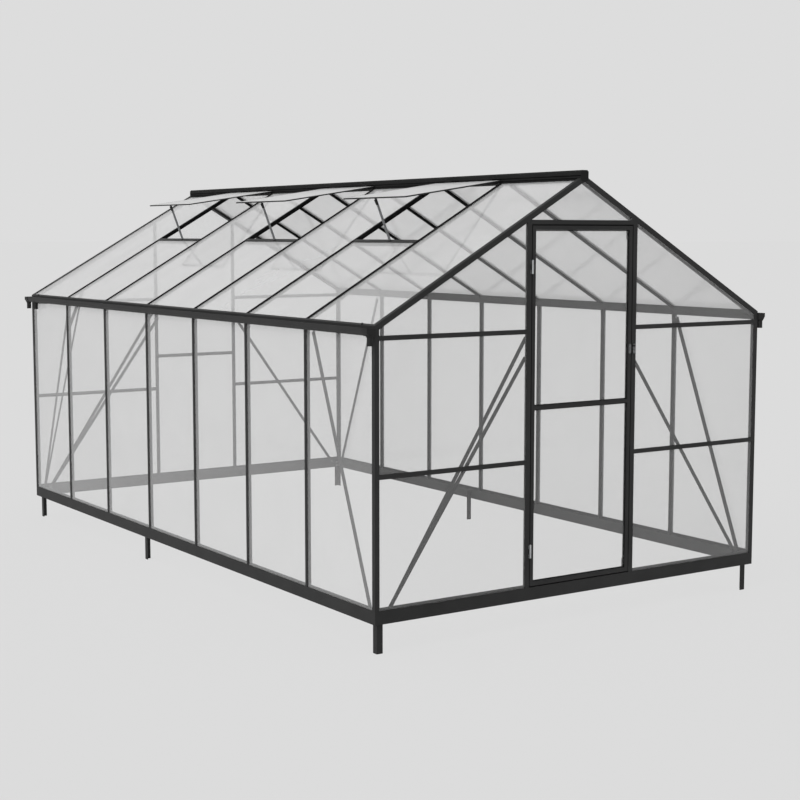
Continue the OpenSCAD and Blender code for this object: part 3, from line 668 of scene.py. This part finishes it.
class GREENHOUSE_OT_bolts(Operator):
    """Bolts of the brace straps, the legs and the eaves"""

    bl_idname = "greenhouse.bolts"
    bl_label = "Bolts"

    def execute(self, context):
        sizes = context.scene.greenhouse_fittings
        bm = bmesh.new()
        self.straps(bm, sizes)
        self.legs(bm, sizes)
        finish_piece("frame_bolts", bm, "frame", "zinc_plated_steel")
        bm = bmesh.new()
        self.eaves(bm, sizes)
        finish_piece("eaves_bolts", bm, "frame", "powder_coated_aluminium")
        return {"FINISHED"}

    def straps(self, bm, sizes):
        """Bolt near each end of each strap, on its inner face."""
        foot_z = BASE_HIGH.z - 14 * MM
        # From a gable to a wall strap's foot, and from a bar and from the eaves to its head.
        wall_foot, wall_head, wall_drop = 78 * MM, 36 * MM, 58 * MM
        # From a side wall to a gable strap's foot.
        gable_foot = 90 * MM
        strap_gap = 0.3 * MM
        doubled = 2 * STRAP_T + strap_gap
        # Side, drop below the eaves and depth of each gable strap's head.
        gable_heads = ((-1, 88 * MM, STRAP_T), (-1, 186 * MM, doubled), (1, 190 * MM, STRAP_T))
        # The heads sit on the door posts at the front and on the gable's posts at the back.
        post_x = {-1: 340.5 * MM, 1: 310 * MM}
        for end in SIDES:
            for side in SIDES:
                wall_x = side * (HALF_W - DEPTH - STRAP_T)
                foot_y, head_y = end * (HALF_L - wall_foot), end * (HALF_L - END_BAY + wall_head)
                bolt(bm, sizes, (wall_x, foot_y, foot_z), (-side, 0, 0))
                bolt(bm, sizes, (wall_x, head_y, EDGE_Z - wall_drop), (-side, 0, 0))
                face_y = end * (HALF_L - DEPTH - (STRAP_T if side > 0 else doubled))
                bolt(bm, sizes, (side * (HALF_W - gable_foot), face_y, foot_z), (0, -end, 0))
            for side, drop, layers in gable_heads:
                face_y = end * (HALF_L - DEPTH - layers)
                bolt(bm, sizes, (side * post_x[end], face_y, EDGE_Z - drop), (0, -end, 0))

    def legs(self, bm, sizes):
        """Two bolts on each side of each leg, inside the base."""
        legs_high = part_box("anchor_legs")[1]
        angle_t = 3 * MM
        # From a leg's corner to the middle of its side, and from the house's middle to the mid leg.
        middle, mid_leg = 16.5 * MM, 400 * MM
        levels = (14 * MM, 40 * MM)
        for level in levels:
            z = BASE_LOW.z + level
            for side in SIDES:
                face_x = side * (legs_high.x - angle_t)
                for end in SIDES:
                    bolt(bm, sizes, (face_x, end * (legs_high.y - middle), z), (-side, 0, 0))
                    face_y = end * (legs_high.y - angle_t)
                    bolt(bm, sizes, (side * (legs_high.x - middle), face_y, z), (0, -end, 0))
                bolt(bm, sizes, (face_x, mid_leg + middle, z), (-side, 0, 0))

    def eaves(self, bm, sizes):
        """Bolt on top of each eaves beam near each gable."""
        in_from_gable = 115 * MM
        for side in SIDES:
            for end in SIDES:
                spot = roof_spot(side, HALF_W - EAVES_LIP / 2, end * (HALF_L - in_from_gable))
                bolt(bm, sizes, spot, roof_turn(side).col[2])


# ---- Gutters ----


class GREENHOUSE_OT_gutter_beads(Operator):
    """Rolled outer edge of each gutter, and the clips that hang it on the eaves beam"""

    bl_idname = "greenhouse.gutter_beads"
    bl_label = "Gutter beads and clips"

    def execute(self, context):
        sizes = context.scene.greenhouse_fittings
        beads, clips = bmesh.new(), bmesh.new()
        sleeve, wall_t = 46 * MM, 2 * MM
        clip_w, clip_h = 20 * MM, 20 * MM
        radius = sizes.bead / 2
        reach, top = HALF_L - sleeve, GUTTER_HIGH.z
        for side in SIDES:
            inner_x, lip_x = side * HALF_W, side * (-GUTTER_LOW.x - radius)
            rod(beads, (lip_x, -reach, top), (lip_x, reach, top), radius, THIN_SIDES)
            for i in range(1, BAYS):
                y = bar_y(i)
                for outer_x, height in ((lip_x, wall_t), (inner_x + side * wall_t, clip_h)):
                    near, far = sorted((inner_x, outer_x))
                    low = (near, y - clip_w / 2, top - height)
                    slab(clips, low, (far, y + clip_w / 2, top), sizes.edge)
        finish_piece("gutter_beads", beads, "frame", "powder_coated_aluminium")
        finish_piece("gutter_clips", clips, "frame", "powder_coated_aluminium")
        return {"FINISHED"}


# ---- Roof vents ----


class GREENHOUSE_OT_vent_fittings(Operator):
    """Hinges, knobs and feet of the roof vents' stays, and the caps on the bars beside them"""

    bl_idname = "greenhouse.vent_fittings"
    bl_label = "Vent fittings"

    def execute(self, context):
        sizes = context.scene.greenhouse_fittings
        metal, knobs = bmesh.new(), bmesh.new()
        stay_low, stay_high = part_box("vent_stays")
        half_stay = 6.5 * MM
        # From a vent's middle to its stay's ends, and to its hinges as a share of a bay.
        stay_head, stay_foot, hinge_share = 10 * MM, 50 * MM, 0.3
        hinge_r, hinge_reach = 3.5 * MM, Vector((0, 30 * MM, 0))
        knob_r, knob_l = 9 * MM, 30 * MM
        boss_r, boss_reach = 7 * MM, Vector((0, 9 * MM, 0))
        cap_r, cap_h, cap_in = 8 * MM, 7 * MM, 26 * MM
        # Radius of a knob's and of a cap's end as a share of its foot's.
        knob_taper, cap_taper = 0.7, 0.8
        round_edge = 1 * MM
        for i in VENT_BAYS:
            middle = bar_y(i) + BAY / 2
            for way in SIDES:
                y = middle + way * BAY * hinge_share
                spot = Vector((VENTS_HIGH.x, y, VENTS_HIGH.z + hinge_r / 2))
                start, end = spot - hinge_reach, spot + hinge_reach
                rod(metal, start, end, hinge_r, THIN_SIDES, edge=sizes.edge)
            top = Vector((stay_low.x + half_stay, middle - stay_head, stay_high.z - half_stay))
            foot = Vector((stay_high.x - half_stay, middle - stay_foot, stay_low.z))
            knob_end = top + (foot - top).normalized() * knob_l
            rod(knobs, top, knob_end, knob_r, end_radius=knob_r * knob_taper, edge=round_edge)
            rod(knobs, foot - boss_reach, foot + boss_reach, boss_r, BOSS_SIDES, edge=round_edge)
        out = roof_turn(-1).col[2]
        for i in range(1, BAYS):
            foot = roof_spot(-1, RIDGE_HIGH.x + cap_in, bar_y(i))
            rod(knobs, foot, foot + out * cap_h, cap_r, BOSS_SIDES, cap_r * cap_taper, round_edge)
        finish_piece("vent_hinges", metal, "frame", "powder_coated_aluminium")
        finish_piece("vent_knobs", knobs, "frame", "moulded_nylon")
        return {"FINISHED"}


# ---- Door ----


class GREENHOUSE_OT_hinges(Operator):
    """Door hinges: knuckles and screwed plates on the post and on the leaf, and their pins"""

    bl_idname = "greenhouse.hinges"
    bl_label = "Door hinges"

    def execute(self, context):
        sizes = context.scene.greenhouse_fittings
        post_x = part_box("hinge_brackets")[0].x
        leaf_low, leaf_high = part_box("door_hinge_leaves")
        mid_low = leaf_low.z - PINS_LOW.z
        mid_high = HINGE_H - mid_low
        gap = 0.3 * MM
        outer = ((0, mid_low - gap), (mid_high + gap, HINGE_H))
        middle = ((mid_low, mid_high),)
        self.make(sizes, "post_hinge", "frame", outer, post_x, ["hinge_brackets", "hinge_pins"])
        self.make(sizes, "leaf_hinge", "door", middle, leaf_high.x, ["door_hinge_leaves"])
        return {"FINISHED"}

    def make(self, sizes, name, body, spans, plate_x, replaced):
        """Knuckles, plates and screws of one side of both hinges."""
        pin = (PINS_LOW + PINS_HIGH) / 2
        radius = pin.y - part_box("hinge_brackets")[0].y
        pin_r, pin_top_r, pin_head = radius * 0.7, radius * 0.45, 2 * MM
        knuckles, plates, screws = bmesh.new(), bmesh.new(), bmesh.new()
        plate_t, round_edge, screw_proud = 2.5 * MM, 0.6 * MM, 0.8 * MM
        plate_y = -HALF_L - plate_t
        # Shares of a plate's width and height at which its screws stand.
        screw_across, screw_levels = 0.68, (0.25, 0.75)
        screw_x = pin.x + (plate_x - pin.x) * screw_across
        for base in (PINS_LOW.z, PINS_HIGH.z - HINGE_H):
            for low, high in spans:
                start, end = Vector((pin.x, pin.y, base + low)), Vector((pin.x, pin.y, base + high))
                rod(knuckles, start, end, radius, KNUCKLE_SIDES, edge=round_edge)
                near, far = sorted((pin.x, plate_x))
                slab(plates, (near, plate_y, start.z), (far, -HALF_L, end.z), sizes.edge)
                for share in screw_levels:
                    z = start.z + (high - low) * share
                    screw(screws, sizes, (screw_x, plate_y, z), (0, -1, 0), screw_proud)
            if "hinge_pins" in replaced:
                top = Vector((pin.x, pin.y, base + HINGE_H))
                rod(knuckles, top, top + Vector((0, 0, pin_head)), pin_r, end_radius=pin_top_r)
        finish_piece(name + "_knuckles", knuckles, body, "mill_aluminium", replaced)
        finish_piece(name + "_plates", plates, body, "powder_coated_aluminium")
        finish_piece(name + "_screws", screws, body, "zinc_plated_steel")


class GREENHOUSE_OT_latch(Operator):
    """Round ended latch plates on the leaf and on the post, with their screws and the catch"""

    bl_idname = "greenhouse.latch"
    bl_label = "Latch"

    def execute(self, context):
        sizes = context.scene.greenhouse_fittings
        # Nearly half of a plate's width, so that its ends come out round.
        round_share, round_steps, through = 0.49, 8, Vector((0, 1, 0))
        screw_share, screw_proud = 0.3, 0.6 * MM
        for node, body in (("latch_keeper", "frame"), ("door_latch", "door")):
            low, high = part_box(node)
            middle = (low + high) / 2
            plate, screws = bmesh.new(), bmesh.new()
            verts = slab(plate, low, high)
            rounded(plate, verts, (high.x - low.x) * round_share, round_steps, through)
            for way in SIDES:
                spot = Vector((middle.x, low.y, middle.z + way * (high.z - low.z) * screw_share))
                screw(screws, sizes, spot, (0, -1, 0), screw_proud)
            finish_piece(node + "_plate", plate, body, "blackened_steel", [node])
            finish_piece(node + "_screws", screws, body, "zinc_plated_steel")
        low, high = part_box("latch_keeper")
        catch = bmesh.new()
        # The catch reaches past the keeper's edge and out of its face, in a span below its top.
        past, proud, span, round_edge = 4 * MM, 3 * MM, (14 * MM, 6 * MM), 1 * MM
        foot_z, top_z = (high.z - down for down in span)
        slab(catch, (low.x - past, low.y - proud, foot_z), (high.x, low.y, top_z), round_edge)
        finish_piece("latch_catch", catch, "frame", "moulded_nylon")
        return {"FINISHED"}


class GREENHOUSE_OT_door_trim(Operator):
    """Rubber seals round the door's sheets, and the bolted plates in the leaf's corners"""

    bl_idname = "greenhouse.door_trim"
    bl_label = "Door seals and corner plates"

    def execute(self, context):
        sizes = context.scene.greenhouse_fittings
        seals, plates, bolts = bmesh.new(), bmesh.new(), bmesh.new()
        sheets_low, sheets_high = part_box("door_sheets")
        # Middle of the rail between the sheets, and half of its height.
        rail_z, half_rail = BASE_LOW.z + 958 * MM, 10 * MM
        seal_proud = 1.5 * MM
        front, back = sheets_low.y - seal_proud, sheets_high.y + seal_proud
        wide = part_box("door_rails")[1].x
        for low, high in ((sheets_low.z, rail_z - half_rail), (rail_z + half_rail, sheets_high.z)):
            for x in SIDES:
                near, far = sorted((x * wide, x * (wide - sizes.seal_w)))
                slab(seals, (near, front, low), (far, back, high), sizes.edge)
            for z in (low, high - sizes.seal_w):
                slab(seals, (-wide, front, z), (wide, back, z + sizes.seal_w), sizes.edge)
        arm, width, thick, screw_proud = 60 * MM, 14 * MM, 2 * MM, 1.5 * MM
        # From the rails' ends out to the plates' corners, and from the leaf's edge in to them.
        corner_out, corner_in = 11 * MM, 8 * MM
        # Shares of an arm along and across it at which its screw stands.
        far, near = 0.8, 0.12
        for x in SIDES:
            for z, way in ((LEAF_LOW.z + corner_in, 1), (LEAF_HIGH.z - corner_in, -1)):
                corner = Vector((x * (wide + corner_out), LEAF_HIGH.y, z))
                self.arm(plates, corner, Vector((-x * arm, thick, way * width)), sizes.edge)
                self.arm(plates, corner, Vector((-x * width, thick, way * arm)), sizes.edge)
                for run, rise in ((far, near), (near, far)):
                    spot = corner + Vector((-x * arm * run, thick, way * arm * rise))
                    screw(bolts, sizes, spot, (0, 1, 0), screw_proud)
        finish_piece("door_seals", seals, "door", "extruded_rubber")
        finish_piece("door_corner_plates", plates, "door", "powder_coated_aluminium")
        finish_piece("door_corner_screws", bolts, "door", "zinc_plated_steel")
        return {"FINISHED"}

    def arm(self, bm, corner, reach, edge):
        """Flat arm from a corner."""
        end = corner + reach
        slab(bm, Vector(map(min, corner, end)), Vector(map(max, corner, end)), edge)


# ---- Stage ----


class GREENHOUSE_OT_stage(Operator):
    """Makes the floor, the light and the camera"""

    bl_idname = "greenhouse.stage"
    bl_label = "Set the stage"

    def execute(self, context):
        studio = context.scene.greenhouse_studio
        self.floor(context.scene, studio)
        self.sky(context.scene, studio)
        self.lamp(context.scene, studio)
        self.camera(context.scene, studio)
        return {"FINISHED"}

    def seen(self, tree):
        """1 for rays that see the backdrop: from the camera, in gloss or through clear things."""
        ray = add(tree, "ShaderNodeLightPath")
        sight = add(
            tree, "ShaderNodeMath", {"operation": "MAXIMUM"},
            at0=ray.outputs["Is Camera Ray"], at1=ray.outputs["Is Glossy Ray"],
        )
        return add(
            tree, "ShaderNodeMath", {"operation": "MAXIMUM"},
            at0=sight.outputs[0], at1=ray.outputs["Is Transmission Ray"],
        ).outputs[0]

    def floor(self, scene, studio):
        """Wide disc that shows the backdrop's colour and keeps the greenhouse's shadow."""
        reach, sides = 400, 64
        bm = bmesh.new()
        bmesh.ops.create_circle(bm, cap_ends=True, segments=sides, radius=reach)
        mesh = bpy.data.meshes.new("floor")
        bm.to_mesh(mesh)
        bm.free()
        floor = bpy.data.objects.new("floor", mesh)
        scene.collection.objects.link(floor)
        made, tree = new_material("studio_floor")
        paint = add(tree, "ShaderNodeBsdfDiffuse", {"Color": (*studio.backdrop, 1)})
        plain = add(tree, "ShaderNodeEmission", {"Color": (*studio.backdrop, 1), "Strength": 1.0})
        share = add(
            tree, "ShaderNodeMath", {"operation": "MULTIPLY", 1: studio.floor_glow},
            at0=self.seen(tree),
        )
        skin = add(
            tree, "ShaderNodeMixShader",
            at0=share.outputs[0], at1=paint.outputs[0], at2=plain.outputs[0],
        )
        add(tree, "ShaderNodeOutputMaterial", Surface=skin.outputs[0])
        mesh.materials.append(made)

    def sky(self, scene, studio):
        """Even light from all round, seen as the backdrop's colour."""
        world = bpy.data.worlds.new("studio")
        scene.world = world
        world.use_nodes = True
        tree = world.node_tree
        tree.nodes.clear()
        white, pale = (1, 1, 1, 1), (*studio.backdrop, 1)
        light = add(tree, "ShaderNodeBackground", {"Color": white, "Strength": studio.sky_level})
        plain = add(tree, "ShaderNodeBackground", {"Color": pale, "Strength": 1.0})
        mixed = add(
            tree, "ShaderNodeMixShader",
            at0=self.seen(tree), at1=light.outputs[0], at2=plain.outputs[0],
        )
        add(tree, "ShaderNodeOutputWorld", Surface=mixed.outputs[0])

    def lamp(self, scene, studio):
        """One soft lamp from the upper left."""
        sun = bpy.data.lights.new("soft_lamp", "SUN")
        sun.energy = studio.lamp_level
        sun.angle = studio.lamp_spread
        lamp = bpy.data.objects.new("soft_lamp", sun)
        lamp.rotation_mode = "QUATERNION"
        lamp.rotation_quaternion = Vector(studio.lamp_aim).to_track_quat("-Z", "Y")
        scene.collection.objects.link(lamp)

    def camera(self, scene, studio):
        """Camera at eye height, off the left front corner."""
        sensor_mm, clip_end, sheets_deep = 36, 1000, 48
        lens = bpy.data.cameras.new("camera")
        lens.lens = studio.focal
        lens.sensor_width = sensor_mm
        lens.clip_end = clip_end
        camera = bpy.data.objects.new("camera", lens)
        camera.location = studio.eye
        level, drop = math.cos(studio.fall), math.sin(studio.fall)
        aim = Vector((math.sin(studio.yaw) * level, math.cos(studio.yaw) * level, -drop))
        camera.rotation_mode = "QUATERNION"
        camera.rotation_quaternion = aim.to_track_quat("-Z", "Y")
        scene.collection.objects.link(camera)
        scene.camera = camera
        scene.view_settings.view_transform = "Standard"
        # A ray may cross this many sheet faces before it goes dark.
        scene.cycles.transparent_max_bounces = sheets_deep


# ---- Panel and registration ----

OPERATORS = (
    GREENHOUSE_OT_finishes, GREENHOUSE_OT_ridge, GREENHOUSE_OT_cleats, GREENHOUSE_OT_bolts,
    GREENHOUSE_OT_gutter_beads, GREENHOUSE_OT_vent_fittings, GREENHOUSE_OT_hinges,
    GREENHOUSE_OT_latch, GREENHOUSE_OT_door_trim, GREENHOUSE_OT_stage,
)


class GREENHOUSE_PT_panel(Panel):
    """Lists the steps that make the greenhouse"""

    bl_idname = "GREENHOUSE_PT_panel"
    bl_label = "Greenhouse"
    bl_space_type = "VIEW_3D"
    bl_region_type = "UI"
    bl_category = "Greenhouse"

    def draw(self, context):
        for step in OPERATORS:
            self.layout.operator(step.bl_idname)


GROUPS = {
    "greenhouse_finishes": GreenhouseFinishes,
    "greenhouse_fittings": GreenhouseFittings,
    "greenhouse_studio": GreenhouseStudio,
}
CLASSES = (*GROUPS.values(), *OPERATORS, GREENHOUSE_PT_panel)


def register():
    """Registers the classes and puts the groups of settings on the scene."""
    for made in CLASSES:
        bpy.utils.register_class(made)
    for name, group in GROUPS.items():
        setattr(bpy.types.Scene, name, PointerProperty(type=group))


def unregister():
    """Takes away what register put in place."""
    for name in GROUPS:
        delattr(bpy.types.Scene, name)
    for made in reversed(CLASSES):
        bpy.utils.unregister_class(made)


def main():
    """Runs every step in order."""
    register()
    bpy.ops.greenhouse.finishes()
    bpy.ops.greenhouse.ridge()
    bpy.ops.greenhouse.cleats()
    bpy.ops.greenhouse.bolts()
    bpy.ops.greenhouse.gutter_beads()
    bpy.ops.greenhouse.vent_fittings()
    bpy.ops.greenhouse.hinges()
    bpy.ops.greenhouse.latch()
    bpy.ops.greenhouse.door_trim()
    bpy.ops.greenhouse.stage()


if __name__ == "__main__":
    main()
